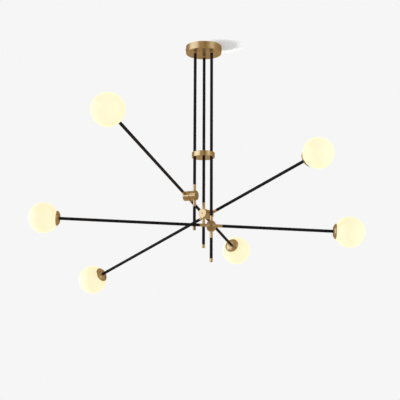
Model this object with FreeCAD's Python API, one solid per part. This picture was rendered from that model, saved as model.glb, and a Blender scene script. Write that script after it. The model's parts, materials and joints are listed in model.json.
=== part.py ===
import FreeCAD
import Part
import math
import os

# Branch chandelier in millimetres. +Z is up, the ceiling is the plane z = 0, and the origin is the
# centre of the ceiling bracket. Three stems hang side by side. Each carries a hub of two drums, one
# round the stem and one round an arm, and each arm ends in two lit globes.

# Tube, threads and wires
tube_r = 6.0
tube_wall = 1.0
wire_bore_r = 3.5           # way for the wires through nipples and sleeves
wire_r = 2.0
pivot_wire_r = 1.5
thread_clearance = 0.05     # radial, between a thread or spigot and its bore
running_clearance = 0.05    # radial, between pieces that turn on each other
loose_clearance = 0.3       # end gaps inside the hubs and round bolts
edge_break = 0.8            # chamfer of turned edges

# Ceiling bracket
bracket_side_gap = 2.0      # between each turned-down ear and the canopy's wall
bracket_width = 24.0
bracket_thickness = 2.0
bracket_ear_drop = 22.0
bracket_bend_r = 3.0
ceiling_slot_spacing = 80.0
ceiling_slot_length = 16.0
ceiling_slot_r = 2.3
supply_hole_r = 8.0

# Canopy
canopy_r = 72.5
canopy_depth = 30.0
canopy_wall = 1.5
canopy_edge_r = 2.5
canopy_shadow_gap = 0.5     # between the canopy's rim and the ceiling
canopy_plate_gap = 11.0     # between the plate's rim and the canopy's wall
canopy_plate_thickness = 3.0
side_screw_drop = 12.0
side_screw_r = 2.0
side_screw_head_r = 3.5
side_screw_head = 1.5
side_screw_length = 10.0

# Stem fixings inside the canopy
washer_r = 9.0
washer_thickness = 1.0
nut_across_flats = 17.0
nut_thickness = 5.0
nipple_proud = 2.5
spigot_length = 14.0        # reach of a nipple, sleeve or plug into its tube

# Terminal block
block_length = 34.0
block_width = 18.0
block_height = 13.0
block_poles = 3
block_notch_width = 1.0
block_notch_depth = 2.6
wire_headroom = 2.0         # under the bracket, above the wires
wire_landing_r = 6.0
wire_landing = 0.5          # straight end of each wire above the block

# Stems, their spacer disc and tails
stem_circle_r = 38.5
upper_pivot_drop = 623.0    # from the ceiling to the highest hub
pivot_step = 63.0           # from each hub down to the next
spacer_drop = 445.5
spacer_thickness = 20.5
spacer_wall = 1.45          # outside the stems
spacer_screw_turn = 60.0    # of the screw away from the disc's own radius
sleeve_length = 88.0
tail_length = 81.0
plug_length = 14.0

# Hubs
drum_r = 19.0
drum_end = 10.0             # from a tube's axis to the drum's end face
axis_offset = 34.0          # between the stem's axis and the arm's axis
friction_washer_inset = 2.0
friction_washer_thickness = 0.9
face_gap = 0.1              # between the friction washer and the arm drum
pivot_r = 8.0
socket_wall = 0.65          # between the pivot's socket and the arm's bore
pivot_bore_r = 2.5
pivot_groove_depth = 1.2
pivot_groove_reach = 6.3    # from the stem drum's face to the middle of the groove
groove_side_gap = 0.15
sleeve_groove_depth = 1.0
tilt_stop = 45.0            # each way from level
swivel_stop = 40.0          # each way from the neutral heading
swivel_neutral = -45.0      # of the hub, from the stem's own angle

# Set screws
set_screw_r = 2.5
dog_r = 1.8
dog_length = 1.0
hex_socket_flats = 2.5
hex_socket_depth = 2.0

# Arms and lamps
arm_long_reach = 658.0      # from the hub to a globe's centre
arm_short_reach = 538.0
globe_r = 60.0
globe_wall = 2.2
globe_hole_gap = 1.0        # round the lamp holder
cap_r = 30.0
cap_wall = 1.2
cap_band = 2.5
cap_back_r = 10.5
cap_back_reach = 65.0       # from the globe's centre to the cap's flat back
cap_bulge = 2.4
holder_r = 12.0
holder_nose_r = 9.0
holder_top_inset = 1.0      # inside the cap's flat back
holder_skirt_proud = 5.4    # past the shade ring
holder_nose = 8.0           # past the skirt
shade_ring_lap = 7.0        # over the edge of the globe's hole
shade_ring_thickness = 3.0
bulb_r = 8.0
bulb_length = 42.0
bulb_base = 13.0
bulb_pin_r = 0.9
bulb_pin_spacing = 9.0
bulb_pin_length = 7.0

# The arms as they hang. The turn is the heading of the hub's axis from the stem, the rise is that of
# the long half, and the long side tells on which hand of the hub's axis the long half lies.
stems = {"left": 210.0, "back": 90.0, "right": 330.0}
branches = (
    {"name": "upper", "stem": "left", "step": 0, "turn": 158.6, "rise": 17.1, "long_side": 1},
    {"name": "middle", "stem": "back", "step": 1, "turn": 57.9, "rise": -20.6, "long_side": 1},
    {"name": "lower", "stem": "right", "step": 2, "turn": 271.9, "rise": 2.7, "long_side": -1},
)

tube_bore_r = tube_r - tube_wall
spigot_r = tube_bore_r - thread_clearance
bore_r = tube_r + running_clearance
nipple_hole_r = tube_bore_r + loose_clearance
canopy_floor = canopy_wall - canopy_depth
canopy_inner_r = canopy_r - canopy_wall
canopy_plate_r = canopy_inner_r - canopy_plate_gap
plate_top = canopy_floor + canopy_plate_thickness
block_top = plate_top + block_height
bracket_half_length = canopy_inner_r - bracket_side_gap
wire_arch = -(bracket_thickness + wire_headroom + wire_r)
wire_bend_r = wire_arch - block_top - wire_landing
spacer_r = stem_circle_r + bore_r + spacer_wall
friction_washer_r = drum_r - friction_washer_inset
joint_plane = axis_offset / 2
stem_drum_face = joint_plane - (friction_washer_thickness + face_gap) / 2
arm_drum_face = joint_plane + (friction_washer_thickness + face_gap) / 2
pivot_end = axis_offset - bore_r - socket_wall - loose_clearance
groove_centre = stem_drum_face + pivot_groove_reach
groove_half = dog_r + groove_side_gap
stem_screw_tip = tube_r - sleeve_groove_depth + loose_clearance
set_screw_length = drum_end - stem_screw_tip - dog_length
globe_hole_r = holder_r + globe_hole_gap
globe_inner_r = globe_r - globe_wall
shade_ring_r = globe_hole_r + shade_ring_lap
shade_ring_top = math.sqrt(globe_inner_r ** 2 - shade_ring_r ** 2) - running_clearance
shade_ring_bottom = shade_ring_top - shade_ring_thickness
skirt_end = shade_ring_bottom - holder_skirt_proud
nose_end = skirt_end - holder_nose
origin = FreeCAD.Vector(0, 0, 0)
x_axis = FreeCAD.Vector(1, 0, 0)
y_axis = FreeCAD.Vector(0, 1, 0)
z_axis = FreeCAD.Vector(0, 0, 1)


def placement(x, y, z, axis=z_axis, angle=0):
    return FreeCAD.Placement(FreeCAD.Vector(x, y, z), FreeCAD.Rotation(axis, angle))


def placed(shape, place):
    return shape.transformed(place.toMatrix())


def rod(radius, start, end):
    return Part.makeCylinder(radius, end - start, FreeCAD.Vector(0, 0, start))


def tube(outer, inner, start, end):
    return rod(outer, start, end).cut(rod(inner, start, end))


def sector(radius, half_height, half_angle):
    # slice of a disc round Z, centred on the X axis
    base = FreeCAD.Vector(0, 0, -half_height)
    slice_shape = Part.makeCylinder(radius, 2 * half_height, base, z_axis, 2 * half_angle)
    return placed(slice_shape, placement(0, 0, 0, z_axis, -half_angle))


def revolved(start, *steps):
    # turned solid round Z; a step is a point (radius, height), or two points for an arc
    first = FreeCAD.Vector(start[0], 0, start[1])
    here = first
    edges = []
    for step in steps:
        if isinstance(step[0], tuple):
            through = FreeCAD.Vector(step[0][0], 0, step[0][1])
            there = FreeCAD.Vector(step[1][0], 0, step[1][1])
            edges.append(Part.Arc(here, through, there).toShape())
        else:
            there = FreeCAD.Vector(step[0], 0, step[1])
            edges.append(Part.makeLine(here, there))
        here = there
    edges.append(Part.makeLine(here, first))
    return Part.Face(Part.Wire(edges)).revolve(origin, z_axis, 360)


def turned_to_x(shape):
    return placed(shape, placement(0, 0, 0, y_axis, 90))


def turned_to_y(shape):
    return placed(shape, placement(0, 0, 0, x_axis, -90))


def hexagon(flats, start, end):
    corner = flats / math.sqrt(3)
    points = []
    for side in range(7):
        angle = math.radians(60 * side)
        points.append(FreeCAD.Vector(corner * math.cos(angle), corner * math.sin(angle), start))
    face = Part.Face(Part.makePolygon(points))
    return face.extrude(FreeCAD.Vector(0, 0, end - start))


def set_screw(point_length):
    # the point is at the origin and the socket end lies along +Z
    shank_start = point_length
    shank_end = point_length + set_screw_length
    shank_r = set_screw_r - thread_clearance
    screw = rod(shank_r, shank_start, shank_end)
    if point_length > 0:
        screw = screw.fuse(rod(dog_r, 0, shank_start))
    return screw.cut(hexagon(hex_socket_flats, shank_end - hex_socket_depth, shank_end))


def stem_place(stem, height):
    angle = math.radians(stems[stem])
    return placement(stem_circle_r * math.cos(angle), stem_circle_r * math.sin(angle), height)


def pivot_height(branch):
    return -(upper_pivot_drop + pivot_step * branch["step"])


def hub_place(branch):
    # X runs from the stem to the arm along the tilt axis
    turn = placement(0, 0, 0, z_axis, branch["turn"])
    return stem_place(branch["stem"], pivot_height(branch)).multiply(turn)


def arm_place(branch):
    # on the arm's axis, X still along the tilt axis, Y along the arm
    tilt = branch["rise"] * branch["long_side"]
    return hub_place(branch).multiply(placement(axis_offset, 0, 0, x_axis, tilt))


def at_stems(shape):
    return [placed(shape, stem_place(stem, 0)) for stem in stems]


def cut_all(shape, tools):
    for tool in tools:
        shape = shape.cut(tool)
    return shape


# ---- ceiling parts ----

def ceiling_bracket():
    # flat bar with both ends bent down, filleted inside and out like a folded strip
    def channel(half_length, top, drop, bend_r):
        corner = FreeCAD.Vector(-half_length, -bracket_width / 2, -drop)
        block = Part.makeBox(2 * half_length, bracket_width, drop + top, corner)
        bends = []
        for edge in block.Edges:
            along_y = abs(edge.tangentAt(edge.FirstParameter).y) > 0.9
            if along_y and edge.CenterOfMass.z > top - 0.1:
                bends.append(edge)
        return block.makeFillet(bend_r, bends)

    outer = channel(bracket_half_length, 0, bracket_ear_drop, bracket_bend_r)
    inner_half = bracket_half_length - bracket_thickness
    inner = channel(inner_half, -bracket_thickness, bracket_ear_drop, bracket_bend_r - bracket_thickness)
    bracket = outer.cut(inner).cut(rod(supply_hole_r, -bracket_thickness, 0))
    for side in (-1, 1):
        centre = side * ceiling_slot_spacing / 2
        reach = ceiling_slot_length / 2 - ceiling_slot_r
        for end in (-1, 1):
            hole = rod(ceiling_slot_r, -bracket_thickness, 0)
            bracket = bracket.cut(placed(hole, placement(centre + end * reach, 0, 0)))
        corner = FreeCAD.Vector(centre - reach, -ceiling_slot_r, -bracket_thickness)
        bracket = bracket.cut(Part.makeBox(2 * reach, 2 * ceiling_slot_r, bracket_thickness, corner))
    tapped = turned_to_x(rod(side_screw_r, -bracket_half_length, bracket_half_length))
    return bracket.cut(placed(tapped, placement(0, 0, -side_screw_drop)))


def canopy():
    inner_edge_r = canopy_edge_r - canopy_wall
    outer_bend = (canopy_r - canopy_edge_r, -canopy_depth + canopy_edge_r)
    bend = math.sin(math.radians(45))
    cup = revolved(
        (0, -canopy_depth),
        (outer_bend[0], -canopy_depth),
        ((outer_bend[0] + canopy_edge_r * bend, outer_bend[1] - canopy_edge_r * bend),
         (canopy_r, outer_bend[1])),
        (canopy_r, -canopy_shadow_gap),
        (canopy_inner_r, -canopy_shadow_gap),
        (canopy_inner_r, outer_bend[1]),
        ((outer_bend[0] + inner_edge_r * bend, outer_bend[1] - inner_edge_r * bend),
         (outer_bend[0], canopy_floor)),
        (0, canopy_floor),
    )
    screw_hole_r = side_screw_r + loose_clearance
    screw_holes = turned_to_x(rod(screw_hole_r, -canopy_r, canopy_r))
    cup = cup.cut(placed(screw_holes, placement(0, 0, -side_screw_drop)))
    return cut_all(cup, at_stems(rod(nipple_hole_r, -canopy_depth, canopy_floor)))


def canopy_plate():
    plate = rod(canopy_plate_r, canopy_floor, plate_top)
    return cut_all(plate, at_stems(rod(nipple_hole_r, canopy_floor, plate_top)))


def side_screws():
    shank_r = side_screw_r - thread_clearance
    shank = rod(shank_r, canopy_r - side_screw_length, canopy_r)
    head = rod(side_screw_head_r, canopy_r, canopy_r + side_screw_head)
    socket_start = canopy_r + side_screw_head / 3
    socket = hexagon(hex_socket_flats, socket_start, canopy_r + side_screw_head)
    screw = turned_to_x(shank.fuse(head).cut(socket))
    right = placed(screw, placement(0, 0, -side_screw_drop))
    left = placed(right, placement(0, 0, 0, z_axis, 180))
    return [left, right]


def terminal_block():
    corner = FreeCAD.Vector(-block_length / 2, -block_width / 2, plate_top)
    block = Part.makeBox(block_length, block_width, block_height, corner)
    pitch = block_length / block_poles
    for pole in range(block_poles):
        centre = (pole - (block_poles - 1) / 2) * pitch
        wire_hole = turned_to_y(rod(wire_r, -block_width / 2, block_width / 2))
        block = block.cut(placed(wire_hole, placement(centre, 0, plate_top + block_height / 2)))
    for gap in range(1, block_poles):
        notch_corner = FreeCAD.Vector(
            gap * pitch - (block_length + block_notch_width) / 2,
            -block_width / 2,
            plate_top + block_height - block_notch_depth)
        notch = Part.makeBox(block_notch_width, block_width, block_notch_depth, notch_corner)
        block = block.cut(notch)
    return block


def stem_washer():
    return tube(washer_r, nipple_hole_r, plate_top, plate_top + washer_thickness)


def stem_nut():
    start = plate_top + washer_thickness
    end = start + nut_thickness
    corner_r = nut_across_flats / math.sqrt(3)
    flat_r = nut_across_flats / 2
    crown = corner_r - flat_r
    blank = revolved(
        (0, start), (flat_r, start), (corner_r, start + crown),
        (corner_r, end - crown), (flat_r, end), (0, end))
    nut = hexagon(nut_across_flats, start, end).common(blank)
    return nut.cut(rod(spigot_r + thread_clearance, start, end))


def stem_nipple():
    top = plate_top + washer_thickness + nut_thickness + nipple_proud
    return tube(spigot_r, wire_bore_r, -canopy_depth - spigot_length, top)


def stem_wire(branch):
    # up the stem, over in an arch and down on the terminal block
    foot = pivot_height(branch) + pivot_wire_r + loose_clearance
    shoulder = wire_arch - wire_bend_r
    inset = wire_bend_r * (1 - math.sin(math.radians(45)))
    outer_turn = stem_circle_r - wire_bend_r
    inner_turn = wire_landing_r + wire_bend_r

    def point(radius, height):
        return FreeCAD.Vector(radius, 0, height)

    up = Part.makeLine(point(stem_circle_r, foot), point(stem_circle_r, shoulder))
    over = Part.Arc(point(stem_circle_r, shoulder), point(stem_circle_r - inset, wire_arch - inset),
                    point(outer_turn, wire_arch)).toShape()
    across = Part.makeLine(point(outer_turn, wire_arch), point(inner_turn, wire_arch))
    down = Part.Arc(point(inner_turn, wire_arch), point(wire_landing_r + inset, wire_arch - inset),
                    point(wire_landing_r, shoulder)).toShape()
    landing = Part.makeLine(point(wire_landing_r, shoulder), point(wire_landing_r, block_top))
    path = Part.Wire([up, over, across, down, landing])
    ring = Part.Wire(Part.makeCircle(wire_r, point(stem_circle_r, foot), z_axis))
    wire = path.makePipeShell([ring], True, True)
    return placed(wire, placement(0, 0, 0, z_axis, stems[branch["stem"]]))


# ---- stems ----

def stem_tube(branch):
    return placed(tube(tube_r, tube_bore_r, pivot_height(branch) + sleeve_length / 2, -canopy_depth),
                  stem_place(branch["stem"], 0))


def spacer_screw_heading(stem):
    # every screw is turned to the rear, out of sight from the front
    side = -1 if stems[stem] < 270 and stems[stem] > 90 else 1
    return stems[stem] + side * spacer_screw_turn


def spacer_screw_place(stem, reach):
    middle = -spacer_drop - spacer_thickness / 2
    heading = placement(0, 0, 0, z_axis, spacer_screw_heading(stem))
    outward = placement(reach, 0, 0, y_axis, 90)
    return stem_place(stem, middle).multiply(heading).multiply(outward)


def spacer_disc():
    top = -spacer_drop
    bottom = top - spacer_thickness
    rim_r = spacer_r - edge_break
    disc = revolved(
        (0, bottom), (rim_r, bottom), (spacer_r, bottom + edge_break),
        (spacer_r, top - edge_break), (rim_r, top), (0, top))
    disc = cut_all(disc, at_stems(rod(bore_r, bottom, top)))
    for stem in stems:
        disc = disc.cut(placed(rod(set_screw_r, 0, spacer_r), spacer_screw_place(stem, 0)))
    return disc


def spacer_screws():
    return [placed(set_screw(0), spacer_screw_place(stem, bore_r)) for stem in stems]


def plain_sleeve():
    # full tube diameter between two spigots, bored for the wires
    half = sleeve_length / 2
    end = half + spigot_length
    return revolved(
        (wire_bore_r, -end), (spigot_r, -end), (spigot_r, -half), (tube_r, -half),
        (tube_r, half), (spigot_r, half), (spigot_r, end), (wire_bore_r, end))


def stem_sleeve(branch):
    # the window lets the pivot wire swing with the hub, and the groove opposite is the swivel stop
    window_spread = math.degrees(math.asin(pivot_wire_r / wire_bore_r))
    window = sector(tube_r * 2, pivot_wire_r + loose_clearance, swivel_stop + window_spread)
    groove_floor = tube_r - sleeve_groove_depth
    groove_spread = math.degrees(math.asin(dog_r / groove_floor))
    groove = sector(tube_r * 2, groove_half, swivel_stop + groove_spread)
    groove = groove.cut(rod(groove_floor, -groove_half, groove_half))
    opposite = placement(0, 0, 0, z_axis, 180)
    sleeve = plain_sleeve().cut(window).cut(placed(groove, opposite))
    neutral = placement(0, 0, 0, z_axis, stems[branch["stem"]] + swivel_neutral)
    return placed(sleeve, stem_place(branch["stem"], pivot_height(branch)).multiply(neutral))


def stem_tail(branch):
    top = -sleeve_length / 2
    return placed(tube(tube_r, tube_bore_r, top - tail_length, top),
                  stem_place(branch["stem"], pivot_height(branch)))


def tail_plug(branch):
    top = -sleeve_length / 2 - tail_length
    bottom = top - plug_length
    plug = revolved(
        (0, bottom), (tube_r - edge_break, bottom), (tube_r, bottom + edge_break), (tube_r, top),
        (spigot_r, top), (spigot_r, top + spigot_length), (0, top + spigot_length))
    return placed(plug, stem_place(branch["stem"], pivot_height(branch)))


# ---- hubs ----

def stem_drum():
    # turned drum across the stem, with the hollow pivot that carries the arm drum
    rim_r = drum_r - edge_break
    drum = turned_to_x(revolved(
        (0, -drum_end), (rim_r, -drum_end), (drum_r, edge_break - drum_end),
        (drum_r, stem_drum_face - edge_break), (rim_r, stem_drum_face),
        (pivot_r, stem_drum_face), (pivot_r, pivot_end), (0, pivot_end)))
    drum = drum.cut(rod(bore_r, -drum_r, drum_r))
    drum = drum.cut(turned_to_x(rod(pivot_bore_r, 0, pivot_end)))
    drum = drum.cut(turned_to_x(rod(set_screw_r, -drum_end, 0)))
    groove_floor = pivot_r - pivot_groove_depth
    spread = math.degrees(math.asin(dog_r / groove_floor))
    groove = sector(pivot_r * 2, groove_half, tilt_stop + spread)
    groove = groove.cut(rod(groove_floor, -groove_half, groove_half))
    upright = placement(groove_centre, 0, 0, y_axis, -90)
    return drum.cut(placed(groove, upright))


def stem_drum_screw():
    return placed(set_screw(dog_length), placement(-stem_screw_tip, 0, 0, y_axis, -90))


def friction_washer():
    end = stem_drum_face + friction_washer_thickness
    return turned_to_x(tube(friction_washer_r, pivot_r + running_clearance, stem_drum_face, end))


def arm_drum():
    # in the arm's frame, socket side towards the stem
    face = arm_drum_face - axis_offset
    socket_end = pivot_end + loose_clearance - axis_offset
    rim_r = drum_r - edge_break
    socket_r = pivot_r + running_clearance
    drum = turned_to_x(revolved(
        (socket_r, face), (rim_r, face), (drum_r, face + edge_break),
        (drum_r, drum_end - edge_break), (rim_r, drum_end), (0, drum_end),
        (0, socket_end), (socket_r, socket_end)))
    drum = drum.cut(turned_to_y(rod(bore_r, -drum_r, drum_r)))
    drum = drum.cut(turned_to_x(rod(pivot_bore_r, socket_end, 0)))
    drum = drum.cut(turned_to_x(rod(set_screw_r, 0, drum_end)))
    retaining_hole = rod(set_screw_r, 0, drum_r)
    return drum.cut(placed(retaining_hole, placement(groove_centre - axis_offset, 0, 0)))


def arm_screws():
    clamp_tip = tube_r - sleeve_groove_depth + running_clearance
    clamp = placed(set_screw(dog_length), placement(clamp_tip, 0, 0, y_axis, 90))
    retaining_tip = pivot_r - pivot_groove_depth + loose_clearance
    retaining = placed(set_screw(dog_length), placement(groove_centre - axis_offset, 0, retaining_tip))
    return [clamp, retaining]


# ---- arms ----

def arm_sleeve():
    sleeve = turned_to_y(plain_sleeve())
    window = turned_to_x(rod(pivot_bore_r, -tube_r, 0))
    pocket_floor = tube_r - sleeve_groove_depth
    pocket = turned_to_x(rod(dog_r + running_clearance, pocket_floor, tube_r))
    return sleeve.cut(window).cut(pocket)


def on_side(shape, side):
    # a shape that runs along +Z, laid along one half of the arm
    return placed(shape, placement(0, 0, 0, x_axis, -90 * side))


def arm_halves(branch):
    return ((arm_long_reach, branch["long_side"]), (arm_short_reach, -branch["long_side"]))


def arm_tubes(branch):
    tubes = []
    for reach, side in arm_halves(branch):
        tubes.append(on_side(tube(tube_r, tube_bore_r, sleeve_length / 2, reach - cap_back_reach), side))
    return tubes


def arm_wires(branch):
    # one harness: a lead through the pivot and a run to each lamp holder
    harness = turned_to_x(rod(pivot_wire_r, -axis_offset - wire_r, 0))
    for reach, side in arm_halves(branch):
        run_end = reach - cap_back_reach - spigot_length
        harness = harness.fuse(on_side(rod(wire_r, 0, run_end), side))
    return harness


# ---- lamps: origin at the globe's centre, +Z towards the hub ----

def point_on_sphere(sphere_r, angle):
    return (sphere_r * math.cos(angle), sphere_r * math.sin(angle))


def globe():
    outer_angle = math.acos(globe_hole_r / globe_r)
    inner_angle = math.acos(globe_hole_r / globe_inner_r)
    bottom_angle = -math.pi / 2
    return revolved(
        point_on_sphere(globe_r, outer_angle),
        (point_on_sphere(globe_r, (outer_angle + bottom_angle) / 2), (0, -globe_r)),
        (0, -globe_inner_r),
        (point_on_sphere(globe_inner_r, (inner_angle + bottom_angle) / 2),
         point_on_sphere(globe_inner_r, inner_angle)))


def globe_cap():
    rim_inner_r = cap_r - cap_wall
    rim = math.sqrt(globe_r ** 2 - rim_inner_r ** 2) + thread_clearance
    shoulder = rim + cap_band
    chord_r = cap_r - cap_back_r
    chord_height = cap_back_reach - shoulder
    chord = math.hypot(chord_r, chord_height)
    outward = (chord_height / chord, chord_r / chord)
    middle = ((cap_r + cap_back_r) / 2 + outward[0] * cap_bulge,
              (shoulder + cap_back_reach) / 2 + outward[1] * cap_bulge)
    inner_middle = (middle[0] - outward[0] * cap_wall, middle[1] - outward[1] * cap_wall)
    back_inside = cap_back_reach - cap_wall
    return revolved(
        (tube_bore_r, cap_back_reach), (cap_back_r, cap_back_reach),
        (middle, (cap_r, shoulder)),
        (cap_r, rim), (rim_inner_r, rim), (rim_inner_r, shoulder),
        (inner_middle, (cap_back_r, back_inside)),
        (tube_bore_r, back_inside))


def lamp_holder():
    # threaded tail up through the cap into the arm's tube, skirt for the shade ring, plug-in nose
    back = cap_back_reach - cap_wall
    top_r = cap_back_r - holder_top_inset
    shoulder = back - (holder_r - top_r)
    tail_end = cap_back_reach + spigot_length
    holder = revolved(
        (0, nose_end), (holder_nose_r, nose_end), (holder_nose_r, skirt_end), (holder_r, skirt_end),
        (holder_r, shoulder), (top_r, back), (spigot_r, back), (spigot_r, tail_end),
        (wire_r, tail_end), (wire_r, back), (0, back))
    for side in (-1, 1):
        socket_end = nose_end + bulb_pin_length + loose_clearance
        socket = rod(bulb_pin_r + loose_clearance, nose_end, socket_end)
        holder = holder.cut(placed(socket, placement(side * bulb_pin_spacing / 2, 0, 0)))
    return holder


def bulb():
    base_end = nose_end - bulb_base
    tip = nose_end - bulb_length
    dome_r = bulb_r - edge_break
    dome = point_on_sphere(dome_r, -math.pi / 4)
    shape = revolved(
        (0, nose_end), (bulb_r, nose_end), (bulb_r, base_end), (dome_r, base_end - edge_break),
        (dome_r, tip + dome_r), ((dome[0], tip + dome_r + dome[1]), (0, tip)))
    for side in (-1, 1):
        pin = rod(bulb_pin_r, nose_end, nose_end + bulb_pin_length)
        shape = shape.fuse(placed(pin, placement(side * bulb_pin_spacing / 2, 0, 0)))
    return shape


def shade_ring():
    return tube(shade_ring_r, holder_r + thread_clearance, shade_ring_bottom, shade_ring_top)


def lamp_place(branch, reach, side):
    # at a globe's centre, with +Z along the arm back to the hub
    inward = placement(0, side * reach, 0, x_axis, 90 * side)
    return arm_place(branch).multiply(inward)


def at_lamps(shape, branch):
    return [placed(shape, lamp_place(branch, reach, side)) for reach, side in arm_halves(branch)]


# ---- all nodes ----

def write(name, shapes):
    if not isinstance(shapes, list):
        shapes = [shapes]
    for shape in shapes:
        if not shape.isValid() or len(shape.Solids) != 1:
            raise ValueError(name + " is not one sound solid")
    solids = [shape.Solids[0] for shape in shapes]
    whole = solids[0] if len(solids) == 1 else Part.makeCompound(solids)
    whole.exportStep("parts/" + name + ".step")


os.makedirs("parts", exist_ok=True)
write("ceiling_bracket", ceiling_bracket())
write("canopy", canopy())
write("canopy_plate", canopy_plate())
write("canopy_screws", side_screws())
write("terminal_block", terminal_block())
write("stem_washers", at_stems(stem_washer()))
write("stem_nuts", at_stems(stem_nut()))
write("stem_nipples", at_stems(stem_nipple()))
write("spacer_disc", spacer_disc())
write("spacer_screws", spacer_screws())
write("stem_wires", [stem_wire(branch) for branch in branches])
write("stem_sleeves", [stem_sleeve(branch) for branch in branches])
write("stem_tails", [stem_tail(branch) for branch in branches])
write("tail_plugs", [tail_plug(branch) for branch in branches])

for branch in branches:
    name = branch["name"]
    hub = hub_place(branch)
    arm = arm_place(branch)
    write("stem_" + branch["stem"], stem_tube(branch))
    write(name + "_stem_drum", placed(stem_drum(), hub))
    write(name + "_stem_drum_screw", placed(stem_drum_screw(), hub))
    write(name + "_friction_washer", placed(friction_washer(), hub))
    write(name + "_arm_drum", placed(arm_drum(), arm))
    write(name + "_arm_drum_screws", [placed(screw, arm) for screw in arm_screws()])
    write(name + "_arm_sleeve", placed(arm_sleeve(), arm))
    write(name + "_arm_tubes", [placed(half, arm) for half in arm_tubes(branch)])
    write(name + "_arm_wires", placed(arm_wires(branch), arm))
    write(name + "_globe_caps", at_lamps(globe_cap(), branch))
    write(name + "_lamp_holders", at_lamps(lamp_holder(), branch))
    write(name + "_bulbs", at_lamps(bulb(), branch))
    write(name + "_shade_rings", at_lamps(shade_ring(), branch))
    long_globe, short_globe = at_lamps(globe(), branch)
    write(name + "_globe_long", long_globe)
    write(name + "_globe_short", short_globe)
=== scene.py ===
import json
import math
import bmesh
import bpy
from mathutils import Matrix, Vector


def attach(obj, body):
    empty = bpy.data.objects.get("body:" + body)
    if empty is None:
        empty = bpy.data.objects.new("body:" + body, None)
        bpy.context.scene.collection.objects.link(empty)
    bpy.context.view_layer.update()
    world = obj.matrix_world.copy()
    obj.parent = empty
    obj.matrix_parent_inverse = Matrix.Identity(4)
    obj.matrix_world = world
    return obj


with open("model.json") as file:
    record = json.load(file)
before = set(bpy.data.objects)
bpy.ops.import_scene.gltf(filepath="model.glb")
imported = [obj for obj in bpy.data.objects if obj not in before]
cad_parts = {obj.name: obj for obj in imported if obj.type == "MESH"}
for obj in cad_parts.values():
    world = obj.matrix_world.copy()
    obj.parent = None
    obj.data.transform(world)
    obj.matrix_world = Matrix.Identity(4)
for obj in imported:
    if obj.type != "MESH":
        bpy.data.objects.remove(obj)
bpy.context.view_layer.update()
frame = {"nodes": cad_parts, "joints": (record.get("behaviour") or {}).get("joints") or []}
nodes = frame["nodes"]
joints = {joint["name"]: joint for joint in frame["joints"]}
branchNames = ("upper", "middle", "lower")
upward = Vector((0, 0, 1))
print("frame loaded,", len(nodes), "nodes")

photoCamera = {
    "place": (0.197687, -3.637232, -1.2962),
    "heading": 3.308,     # degrees, turned to the left
    "lookUp": 10.2415,
    "roll": 0.2471,
    "lens": 83.777,
}


def addCamera():
    data = bpy.data.cameras.new("photoCamera")
    data.lens = photoCamera["lens"]
    camera = bpy.data.objects.new("photoCamera", data)
    bpy.context.scene.collection.objects.link(camera)
    heading = Matrix.Rotation(math.radians(photoCamera["heading"]), 4, "Z")
    tilt = Matrix.Rotation(math.radians(90 + photoCamera["lookUp"]), 4, "X")
    roll = Matrix.Rotation(math.radians(photoCamera["roll"]), 4, "Z")
    camera.matrix_world = Matrix.Translation(photoCamera["place"]) @ heading @ tilt @ roll
    bpy.context.scene.camera = camera


addCamera()
bpy.context.scene.view_settings.view_transform = "Standard"
print("camera set")


# small helpers for node trees

def addNode(tree, kind, **settings):
    node = tree.nodes.new(kind)
    for key, value in settings.items():
        setattr(node, key, value)
    return node


def feed(tree, source, target):
    # a source is a socket or a plain number or vector
    if isinstance(source, bpy.types.NodeSocket):
        tree.links.new(source, target)
    else:
        target.default_value = source


def calc(tree, operation, first, second=0.0):
    node = addNode(tree, "ShaderNodeMath", operation=operation)
    feed(tree, first, node.inputs[0])
    feed(tree, second, node.inputs[1])
    return node.outputs[0]


def vectorCalc(tree, operation, first, second=(0, 0, 0)):
    node = addNode(tree, "ShaderNodeVectorMath", operation=operation)
    feed(tree, first, node.inputs[0])
    feed(tree, second, node.inputs[1])
    return node.outputs["Value" if operation in ("LENGTH", "DOT_PRODUCT") else "Vector"]


def spread(tree, value, fromLow, fromHigh, toLow, toHigh, smooth=False):
    node = addNode(tree, "ShaderNodeMapRange")
    node.interpolation_type = "SMOOTHSTEP" if smooth else "LINEAR"
    feed(tree, value, node.inputs["Value"])
    node.inputs["From Min"].default_value = fromLow
    node.inputs["From Max"].default_value = fromHigh
    node.inputs["To Min"].default_value = toLow
    node.inputs["To Max"].default_value = toHigh
    return node.outputs["Result"]


def noise(tree, vector, scale, detail=2.0, roughness=0.5):
    node = addNode(tree, "ShaderNodeTexNoise")
    feed(tree, vector, node.inputs["Vector"])
    node.inputs["Scale"].default_value = scale
    node.inputs["Detail"].default_value = detail
    node.inputs["Roughness"].default_value = roughness
    return node.outputs["Fac"]


def blendColours(tree, amount, first, second):
    node = addNode(tree, "ShaderNodeMix", data_type="RGBA")
    feed(tree, amount, node.inputs[0])
    feed(tree, (*first, 1) if isinstance(first, tuple) else first, node.inputs[6])
    feed(tree, (*second, 1) if isinstance(second, tuple) else second, node.inputs[7])
    return node.outputs[2]


def bump(tree, height, strength, distance):
    node = addNode(tree, "ShaderNodeBump")
    node.inputs["Strength"].default_value = strength
    node.inputs["Distance"].default_value = distance
    feed(tree, height, node.inputs["Height"])
    return node.outputs["Normal"]


def newMaterial(name):
    material = bpy.data.materials.new(name)
    material.use_nodes = True
    tree = material.node_tree
    return material, tree, tree.nodes["Principled BSDF"]


def objectPoint(tree):
    return addNode(tree, "ShaderNodeTexCoord").outputs["Object"]


noiseBand = (0.3, 0.7)      # nearly all of a noise texture lies in this range


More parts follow.
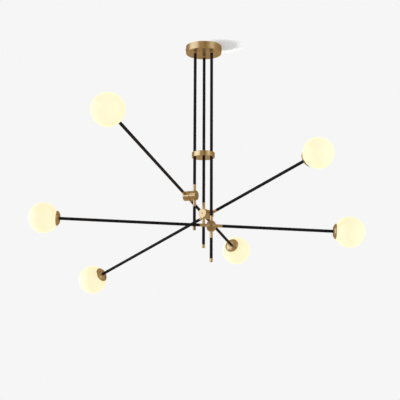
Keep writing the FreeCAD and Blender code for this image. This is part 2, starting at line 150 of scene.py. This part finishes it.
# what the brass shows in its reflections: brightness by degrees round the object, 0 towards the camera
studio = {
    "background": 0.9216,             # what the camera sees behind the object
    "ambient": 0.62,                  # what lights matt surfaces
    "round": (
        (-180, 0.40), (-142, 0.34), (-104, 0.58), (-88, 1.55), (-62, 1.55), (-46, 1.40), (-34, 1.10),
        (-25, 0.42), (-12, 0.50), (-4, 0.62), (4, 0.34), (18, 0.30), (36, 0.66), (48, 0.86), (58, 1.12),
        (74, 0.72), (92, 0.48), (113, 0.44), (143, 0.32), (180, 0.40)),
    "beyond": 0.50,                   # towards the ceiling and the floor
    "heights": (-20, -4, 32, 40),     # degrees above level between which the softboxes show
    "warmDark": (1.0, 0.70, 0.36),    # tint of the dark parts of the room
    "paleFrom": 0.42,                 # the tint fades out between these two levels
    "paleTo": 1.25,
    "brightest": 2.0,                 # more than any level, because a ramp holds only 0 to 1
}


def studioTint(level):
    pale = (level - studio["paleFrom"]) / (studio["paleTo"] - studio["paleFrom"])
    pale = max(0, min(1, pale))
    return tuple(level * (warm + (1 - warm) * pale) for warm in studio["warmDark"])


def lightWorld():
    world = bpy.data.worlds.new("studio")
    bpy.context.scene.world = world
    world.use_nodes = True
    tree = world.node_tree
    tree.nodes.clear()
    direction = addNode(tree, "ShaderNodeTexCoord").outputs["Generated"]
    split = addNode(tree, "ShaderNodeSeparateXYZ")
    feed(tree, direction, split.inputs[0])
    turn = calc(tree, "ARCTAN2", split.outputs["X"], calc(tree, "MULTIPLY", split.outputs["Y"], -1.0))
    ramp = addNode(tree, "ShaderNodeValToRGB")
    feed(tree, spread(tree, turn, -math.pi, math.pi, 0, 1), ramp.inputs[0])
    stops = ramp.color_ramp.elements
    while len(stops) < len(studio["round"]):
        stops.new(0.5)
    for stop, (degrees, level) in zip(stops, studio["round"]):
        stop.position = degrees / 360 + 0.5
        stop.color = tuple(part / studio["brightest"] for part in studioTint(level)) + (1,)
    lifted = addNode(tree, "ShaderNodeVectorMath", operation="SCALE")
    feed(tree, ramp.outputs["Color"], lifted.inputs[0])
    lifted.inputs["Scale"].default_value = studio["brightest"]
    heights = [math.sin(math.radians(degrees)) for degrees in studio["heights"]]
    fromBelow = spread(tree, split.outputs["Z"], heights[0], heights[1], 0, 1, True)
    fromAbove = spread(tree, split.outputs["Z"], heights[2], heights[3], 1, 0, True)
    between = calc(tree, "MULTIPLY", fromBelow, fromAbove)
    mirrored = blendColours(tree, between, studioTint(studio["beyond"]), lifted.outputs["Vector"])
    path = addNode(tree, "ShaderNodeLightPath")
    ambient = (studio["ambient"],) * 3
    white = (studio["background"],) * 3
    shown = blendColours(tree, path.outputs["Is Glossy Ray"], ambient, mirrored)
    shown = blendColours(tree, path.outputs["Is Camera Ray"], shown, white)
    shown = blendColours(tree, path.outputs["Is Transmission Ray"], shown, white)
    background = addNode(tree, "ShaderNodeBackground")
    feed(tree, shown, background.inputs["Color"])
    output = addNode(tree, "ShaderNodeOutputWorld")
    feed(tree, background.outputs[0], output.inputs["Surface"])


lampAim = Vector((0, 0, -0.45))

# round is in degrees, 0 towards the camera; beam keeps the light off the floor below a lamp
lamps = {
    "leftSoftbox": {"round": -104, "reach": 3.0, "height": -1.10, "size": 0.7, "beam": 64, "power": 34},
    "rightSoftbox": {"round": 58, "reach": 3.0, "height": -1.60, "size": 1.1, "beam": 80, "power": 12},
}


def addLamps():
    for name, lamp in lamps.items():
        data = bpy.data.lights.new(name, "AREA")
        data.shape = "SQUARE"
        data.size = lamp["size"]
        data.spread = math.radians(lamp["beam"])
        data.energy = lamp["power"]
        turn = math.radians(lamp["round"])
        place = Vector((math.sin(turn) * lamp["reach"], -math.cos(turn) * lamp["reach"], lamp["height"]))
        body = bpy.data.objects.new(name, data)
        bpy.context.scene.collection.objects.link(body)
        aim = (lampAim - place).to_track_quat("-Z", "Y")
        body.matrix_world = Matrix.Translation(place) @ aim.to_matrix().to_4x4()
        body.visible_camera = False
        body.visible_glossy = False


# the ceiling shows only where the canopy's shadow falls, the floor only below the object
stagePlanes = {
    "ceiling": {"height": 0.0004, "reach": 0.6, "middle": (0.08, -0.01, 0), "fadeFrom": 0.04,
                "fadeTo": 0.10, "faceUp": False, "tone": 0.80},
    "floor": {"height": -2.45, "reach": 5.0, "middle": (0, 0, 0), "fadeFrom": 0.2,
              "fadeTo": 2.4, "faceUp": True, "tone": 0.93},
}
stagePaint = {"clouds": 3.0, "cool": (0.995, 0.997, 1.0), "sides": 96}


def addStagePlane(name):
    # a round sheet that fades out towards its rim and can't be seen from behind
    plan = stagePlanes[name]
    mesh = bpy.data.meshes.new(name)
    sheet = bmesh.new()
    bmesh.ops.create_circle(sheet, cap_ends=True, segments=stagePaint["sides"], radius=plan["reach"])
    if not plan["faceUp"]:
        bmesh.ops.reverse_faces(sheet, faces=sheet.faces)
    sheet.to_mesh(mesh)
    sheet.free()
    body = bpy.data.objects.new(name, mesh)
    body.location = (0, 0, plan["height"])
    bpy.context.scene.collection.objects.link(body)
    body.visible_glossy = False
    material, tree, shader = newMaterial(name + "Paint")
    tree.nodes.remove(shader)
    point = objectPoint(tree)
    away = vectorCalc(tree, "LENGTH", vectorCalc(tree, "SUBTRACT", point, plan["middle"]))
    fade = spread(tree, away, plan["fadeFrom"], plan["fadeTo"], 0, 1, True)
    behind = addNode(tree, "ShaderNodeNewGeometry").outputs["Backfacing"]
    clear = calc(tree, "MAXIMUM", fade, behind)
    paint = addNode(tree, "ShaderNodeBsdfDiffuse")
    clouds = spread(tree, noise(tree, point, stagePaint["clouds"]), *noiseBand, 0, 1)
    warm = (plan["tone"],) * 3
    cool = tuple(plan["tone"] * part for part in stagePaint["cool"])
    feed(tree, blendColours(tree, clouds, warm, cool), paint.inputs["Color"])
    mix = addNode(tree, "ShaderNodeMixShader")
    feed(tree, clear, mix.inputs[0])
    feed(tree, paint.outputs[0], mix.inputs[1])
    feed(tree, addNode(tree, "ShaderNodeBsdfTransparent").outputs[0], mix.inputs[2])
    feed(tree, mix.outputs[0], tree.nodes["Material Output"].inputs["Surface"])
    mesh.materials.append(material)


lightWorld()
addLamps()
addStagePlane("ceiling")
addStagePlane("floor")
print("stage and lights set")


brass = {
    "light": (0.70, 0.565, 0.36),
    "dark": (0.54, 0.42, 0.245),
    "grain": 1600.0,       # fine rings to the metre
    "streaks": 260.0,      # broad rings to the metre
    "cloud": 45.0,
    "shares": {"grain": 0.4, "cloud": 0.2, "streaks": 0.4},     # of each in the colour
    "relief": 0.06,
    "reliefDepth": 0.00003,
    "acrossRings": 0.25,   # of a full turn, so that highlights spread across the rings
    "lacquer": 0.15,
    "lacquerRough": 0.2,
}

# roughness of the smooth and the coarse rings, and how far the brushing stretches a highlight
brushing = {
    "canopy": {"smooth": 0.27, "coarse": 0.44, "stretch": 0.70},
    "spacer": {"smooth": 0.10, "coarse": 0.20, "stretch": 0.75},
    "arm": {"smooth": 0.22, "coarse": 0.34, "stretch": 0.75},
    "upperHub": {"smooth": 0.15, "coarse": 0.23, "stretch": 0.85},
    "middleHub": {"smooth": 0.20, "coarse": 0.28, "stretch": 0.90},
    "lowerHub": {"smooth": 0.42, "coarse": 0.54, "stretch": 1.00},
}


def lacquer(shader):
    shader.inputs["Metallic"].default_value = 1
    shader.inputs["Coat Weight"].default_value = brass["lacquer"]
    shader.inputs["Coat Roughness"].default_value = brass["lacquerRough"]


def turnedBrass(name, centre, axis, finish):
    # lacquered brass with fine rings round a turning axis
    material, tree, shader = newMaterial(name)
    arm = vectorCalc(tree, "SUBTRACT", objectPoint(tree), tuple(centre))
    across = vectorCalc(tree, "CROSS_PRODUCT", tuple(axis), arm)
    radius = vectorCalc(tree, "LENGTH", across)
    height = vectorCalc(tree, "DOT_PRODUCT", arm, tuple(axis))
    ring = addNode(tree, "ShaderNodeCombineXYZ")
    feed(tree, radius, ring.inputs[0])
    feed(tree, height, ring.inputs[1])
    grain = noise(tree, ring.outputs[0], brass["grain"], 3.0, 0.6)
    streaks = noise(tree, ring.outputs[0], brass["streaks"])
    cloud = noise(tree, arm, brass["cloud"], 3.0)
    shares = brass["shares"]
    shade = calc(tree, "ADD", spread(tree, grain, *noiseBand, 0, shares["grain"]),
                 spread(tree, cloud, *noiseBand, 0, shares["cloud"]))
    shade = calc(tree, "ADD", shade, spread(tree, streaks, *noiseBand, 0, shares["streaks"]))
    feed(tree, blendColours(tree, shade, brass["dark"], brass["light"]), shader.inputs["Base Color"])
    rings = calc(tree, "ADD", calc(tree, "MULTIPLY", grain, 0.5), calc(tree, "MULTIPLY", streaks, 0.5))
    rough = spread(tree, rings, *noiseBand, finish["smooth"], finish["coarse"])
    feed(tree, rough, shader.inputs["Roughness"])
    feed(tree, bump(tree, grain, brass["relief"], brass["reliefDepth"]), shader.inputs["Normal"])
    turned = addNode(tree, "ShaderNodeVectorTransform", vector_type="VECTOR")
    turned.convert_from = "OBJECT"
    turned.convert_to = "WORLD"
    feed(tree, across, turned.inputs[0])
    feed(tree, vectorCalc(tree, "NORMALIZE", turned.outputs[0]), shader.inputs["Tangent"])
    shader.inputs["Anisotropic"].default_value = finish["stretch"]
    shader.inputs["Anisotropic Rotation"].default_value = brass["acrossRings"]
    lacquer(shader)
    return material


drawn = {"cloud": 60.0, "share": 0.5, "roughBand": (0.25, 0.75), "rough": (0.24, 0.36), "relief": 0.1,
         "reliefDepth": 0.00004}


def drawnBrass(name):
    # satin brass for the sleeves, plugs and ferrules of the stems, with rings along Z
    material, tree, shader = newMaterial(name)
    point = objectPoint(tree)
    split = addNode(tree, "ShaderNodeSeparateXYZ")
    feed(tree, point, split.inputs[0])
    ring = addNode(tree, "ShaderNodeCombineXYZ")
    feed(tree, split.outputs["Z"], ring.inputs[2])
    grain = noise(tree, ring.outputs[0], brass["grain"], 3.0, 0.6)
    cloud = noise(tree, point, drawn["cloud"], 3.0)
    shade = calc(tree, "ADD", spread(tree, grain, *noiseBand, 0, drawn["share"]),
                 spread(tree, cloud, *noiseBand, 0, drawn["share"]))
    feed(tree, blendColours(tree, shade, brass["dark"], brass["light"]), shader.inputs["Base Color"])
    feed(tree, spread(tree, grain, *drawn["roughBand"], *drawn["rough"]), shader.inputs["Roughness"])
    feed(tree, bump(tree, grain, drawn["relief"], drawn["reliefDepth"]), shader.inputs["Normal"])
    lacquer(shader)
    return material


blackPaint = {
    "light": (0.0056, 0.0064, 0.0105),
    "dark": (0.0036, 0.0041, 0.0070),
    "rough": (0.32, 0.42),
    "cloud": 30.0,
    "pebbles": 900.0,
    "relief": 0.06,
    "reliefDepth": 0.00002,
    "index": 1.25,         # of refraction, low for a satin coat
}


def powderCoat(name):
    # satin black powder coat with its fine pebbled skin
    material, tree, shader = newMaterial(name)
    point = objectPoint(tree)
    pebbles = noise(tree, point, blackPaint["pebbles"])
    cloud = noise(tree, point, blackPaint["cloud"], 3.0)
    shade = spread(tree, cloud, *noiseBand, 0, 1)
    paint = blendColours(tree, shade, blackPaint["dark"], blackPaint["light"])
    feed(tree, paint, shader.inputs["Base Color"])
    feed(tree, spread(tree, cloud, *noiseBand, *blackPaint["rough"]), shader.inputs["Roughness"])
    skin = bump(tree, pebbles, blackPaint["relief"], blackPaint["reliefDepth"])
    feed(tree, skin, shader.inputs["Normal"])
    shader.inputs["IOR"].default_value = blackPaint["index"]
    return material


opal = {
    "glow": (0.93, 0.84, 0.545),
    "glowFar": (0.93, 0.875, 0.60),
    # painted shade: the glow beside the cap, where the lamp holder shades the glass
    "capShadedGlow": (0.88, 0.79, 0.49),
    "capShade": (0.55, 0.95),       # in globe radii from the centre towards the cap
    "farSide": (0.1, -0.95),
    "glass": (0.10, 0.10, 0.09),
    "glassDark": (0.09, 0.09, 0.08),
    "cloud": 22.0,
    "drift": 0.12,
    "radius": 0.060,
    "rough": 0.12,
    "gloss": 0.3,
}


def opalGlass(name, centre, inward):
    # lit from inside: painted shade makes the glow a little deeper beside the cap, where the lamp holder
    # shades the glass, and the glow is paler towards the far side
    material, tree, shader = newMaterial(name)
    out = vectorCalc(tree, "SUBTRACT", objectPoint(tree), tuple(centre))
    depth = vectorCalc(tree, "DOT_PRODUCT", out, tuple(inward / opal["radius"]))
    cloud = noise(tree, out, opal["cloud"])
    soft = calc(tree, "ADD", depth, spread(tree, cloud, *noiseBand, -opal["drift"], opal["drift"]))
    # painted shade: the glow deepens towards the cap, where the lamp holder shades the glass
    capShade = spread(tree, soft, *opal["capShade"], 0, 1, True)
    farSide = spread(tree, soft, *opal["farSide"], 0, 1, True)
    glow = blendColours(tree, farSide, opal["glow"], opal["glowFar"])
    glow = blendColours(tree, capShade, glow, opal["capShadedGlow"])
    feed(tree, glow, shader.inputs["Emission Color"])
    shader.inputs["Emission Strength"].default_value = 1.0
    milk = blendColours(tree, spread(tree, cloud, *noiseBand, 0, 1), opal["glass"], opal["glassDark"])
    feed(tree, milk, shader.inputs["Base Color"])
    shader.inputs["Roughness"].default_value = opal["rough"]
    shader.inputs["Specular IOR Level"].default_value = opal["gloss"]
    return material


plainFinishes = {
    "zincSteel": {"light": (0.62, 0.62, 0.63), "dark": (0.48, 0.48, 0.50), "metal": 1, "rough": (0.30, 0.45),
                  "scale": 120.0, "relief": 0.05},
    "blackScrew": {"light": (0.045, 0.042, 0.04), "dark": (0.02, 0.019, 0.018), "metal": 1,
                   "rough": (0.35, 0.50), "scale": 400.0, "relief": 0.1},
    "wireSleeving": {"light": (0.86, 0.86, 0.84), "dark": (0.74, 0.74, 0.72), "metal": 0,
                     "rough": (0.45, 0.60), "scale": 150.0, "relief": 0.05},
    "nylon": {"light": (0.62, 0.47, 0.29), "dark": (0.52, 0.39, 0.23), "metal": 0, "rough": (0.50, 0.65),
              "scale": 300.0, "relief": 0.08},
    "ceramic": {"light": (0.90, 0.89, 0.85), "dark": (0.80, 0.79, 0.75), "metal": 0, "rough": (0.12, 0.25),
                "scale": 200.0, "relief": 0.05},
    "lampPlastic": {"light": (0.92, 0.92, 0.88), "dark": (0.84, 0.84, 0.80), "metal": 0,
                    "rough": (0.30, 0.45), "scale": 250.0, "relief": 0.04},
    "blockPlastic": {"light": (0.85, 0.85, 0.82), "dark": (0.76, 0.76, 0.73), "metal": 0,
                     "rough": (0.40, 0.55), "scale": 250.0, "relief": 0.08},
}


plainReliefDepth = 0.0002


def plainFinish(name):
    look = plainFinishes[name]
    material, tree, shader = newMaterial(name)
    point = objectPoint(tree)
    grain = noise(tree, point, look["scale"], 3.0)
    shade = spread(tree, grain, *noiseBand, 0, 1)
    feed(tree, blendColours(tree, shade, look["dark"], look["light"]), shader.inputs["Base Color"])
    feed(tree, spread(tree, grain, *noiseBand, *look["rough"]), shader.inputs["Roughness"])
    feed(tree, bump(tree, grain, look["relief"], plainReliefDepth), shader.inputs["Normal"])
    shader.inputs["Metallic"].default_value = look["metal"]
    return material


def dress(material, *names):
    for name in names:
        nodes[name].data.materials.clear()
        nodes[name].data.materials.append(material)


rise = {"upper": 17.1, "middle": -20.6, "lower": 2.7}       # of the arm's long half, in degrees
reach = {"long": 0.658, "short": 0.538}                     # from the hub to a globe's centre


def branchPlan(name):
    # from the branch's joints: the stem, the hub's axis from stem to arm, and the arm's long half
    stemPoint = Vector(joints[name + "_swivel"]["pos_m"])
    armPoint = Vector(joints[name + "_tilt"]["pos_m"])
    tiltAxis = Vector(joints[name + "_tilt"]["axis"])
    level = upward.cross(tiltAxis)
    longWay = Matrix.Rotation(math.radians(rise[name]), 3, tiltAxis) @ level
    return {
        "stemPoint": stemPoint,
        "armPoint": armPoint,
        "hubAxis": (armPoint - stemPoint).normalized(),
        "longWay": longWay.normalized(),
    }


plans = {name: branchPlan(name) for name in branchNames}


lathe = {"sides": 96, "cornerSteps": 4, "weldDistance": 1e-6, "sharpFrom": 32}


def roundedCorners(points):
    # a third number on a point of the outline rounds that corner by so much
    done = []
    for spot, point in enumerate(points):
        here = Vector(point[:2])
        if len(point) < 3:
            done.append(here)
            continue
        back = (Vector(points[spot - 1][:2]) - here).normalized()
        ahead = (Vector(points[(spot + 1) % len(points)][:2]) - here).normalized()
        half = back.angle(ahead) / 2
        centre = here + (back + ahead).normalized() * point[2] / math.sin(half)
        first = here + back * point[2] / math.tan(half) - centre
        last = here + ahead * point[2] / math.tan(half) - centre
        for step in range(lathe["cornerSteps"] + 1):
            part = step / lathe["cornerSteps"]
            done.append(centre + first.lerp(last, part).normalized() * point[2])
    return done


def turnOnLathe(name, outline, place):
    # spins a closed outline of radius and height in millimetres round the piece's Z axis
    sheet = bmesh.new()
    corners = [sheet.verts.new((point[0] / 1000, 0, point[1] / 1000)) for point in outline]
    edges = [sheet.edges.new((corners[spot - 1], corners[spot])) for spot in range(len(corners))]
    bmesh.ops.spin(sheet, geom=corners + edges, axis=(0, 0, 1), cent=(0, 0, 0), angle=2 * math.pi,
                   steps=lathe["sides"], use_duplicate=False)
    bmesh.ops.remove_doubles(sheet, verts=sheet.verts, dist=lathe["weldDistance"])
    bmesh.ops.recalc_face_normals(sheet, faces=sheet.faces)
    mesh = bpy.data.meshes.new(name)
    sheet.to_mesh(mesh)
    sheet.free()
    mesh.polygons.foreach_set("use_smooth", [True] * len(mesh.polygons))
    mesh.set_sharp_from_angle(angle=math.radians(lathe["sharpFrom"]))
    piece = bpy.data.objects.new(name, mesh)
    bpy.context.scene.collection.objects.link(piece)
    piece.matrix_world = place
    return piece


# in millimetres, as its outline is
stemFerrule = {"inside": 6.03, "outside": 7.1, "top": -30.0, "length": 4.6, "edge": 0.4}


def addStemFerrules(paint):
    # brass ferrules where the stems leave the canopy
    size = stemFerrule
    bottom = size["top"] - size["length"]
    outline = roundedCorners([
        (size["inside"], size["top"]), (size["outside"], size["top"]),
        (size["outside"], bottom, size["edge"]), (size["inside"], bottom, size["edge"] / 2)])
    for name, plan in plans.items():
        stem = plan["stemPoint"]
        piece = turnOnLathe(name + "StemFerrule", outline, Matrix.Translation((stem.x, stem.y, 0)))
        piece.data.materials.append(paint)
        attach(piece, "frame")


origin = Vector((0, 0, 0))
canopyBrass = turnedBrass("canopyBrass", origin, upward, brushing["canopy"])
dress(canopyBrass, "canopy")
spacerBrass = turnedBrass("spacerBrass", origin, upward, brushing["spacer"])
dress(spacerBrass, "spacer_disc")
stemBrass = drawnBrass("stemBrass")
dress(stemBrass, "stem_sleeves", "tail_plugs", "canopy_screws")
blackCoat = powderCoat("blackCoat")
dress(blackCoat, "stem_left", "stem_back", "stem_right", "stem_tails")
addStemFerrules(stemBrass)
zincSteel = plainFinish("zincSteel")
dress(zincSteel, "ceiling_bracket", "canopy_plate", "stem_washers", "stem_nuts", "stem_nipples")
blackScrew = plainFinish("blackScrew")
dress(blackScrew, "spacer_screws")
wireSleeving = plainFinish("wireSleeving")
dress(wireSleeving, "stem_wires")
blockPlastic = plainFinish("blockPlastic")
dress(blockPlastic, "terminal_block")
nylon = plainFinish("nylon")
ceramic = plainFinish("ceramic")
lampPlastic = plainFinish("lampPlastic")

print("stems and canopy dressed")

for name, plan in plans.items():
    hubFinish = brushing[name + "Hub"]
    hubBrass = turnedBrass(name + "HubBrass", plan["stemPoint"], plan["hubAxis"], hubFinish)
    dress(hubBrass, name + "_stem_drum", name + "_arm_drum")
    armBrass = turnedBrass(name + "ArmBrass", plan["armPoint"], plan["longWay"], brushing["arm"])
    dress(armBrass, name + "_arm_sleeve", name + "_globe_caps")
    dress(blackCoat, name + "_arm_tubes")
    dress(blackScrew, name + "_stem_drum_screw", name + "_arm_drum_screws")
    dress(nylon, name + "_friction_washer")
    dress(wireSleeving, name + "_arm_wires")
    dress(ceramic, name + "_lamp_holders")
    dress(lampPlastic, name + "_bulbs")
    dress(zincSteel, name + "_shade_rings")
    for half, side in (("long", 1), ("short", -1)):
        outward = plan["longWay"] * side
        centre = plan["armPoint"] + outward * reach[half]
        glass = opalGlass(name + half.capitalize() + "Glass", centre, -outward)
        dress(glass, name + "_globe_" + half)
print("branches dressed")
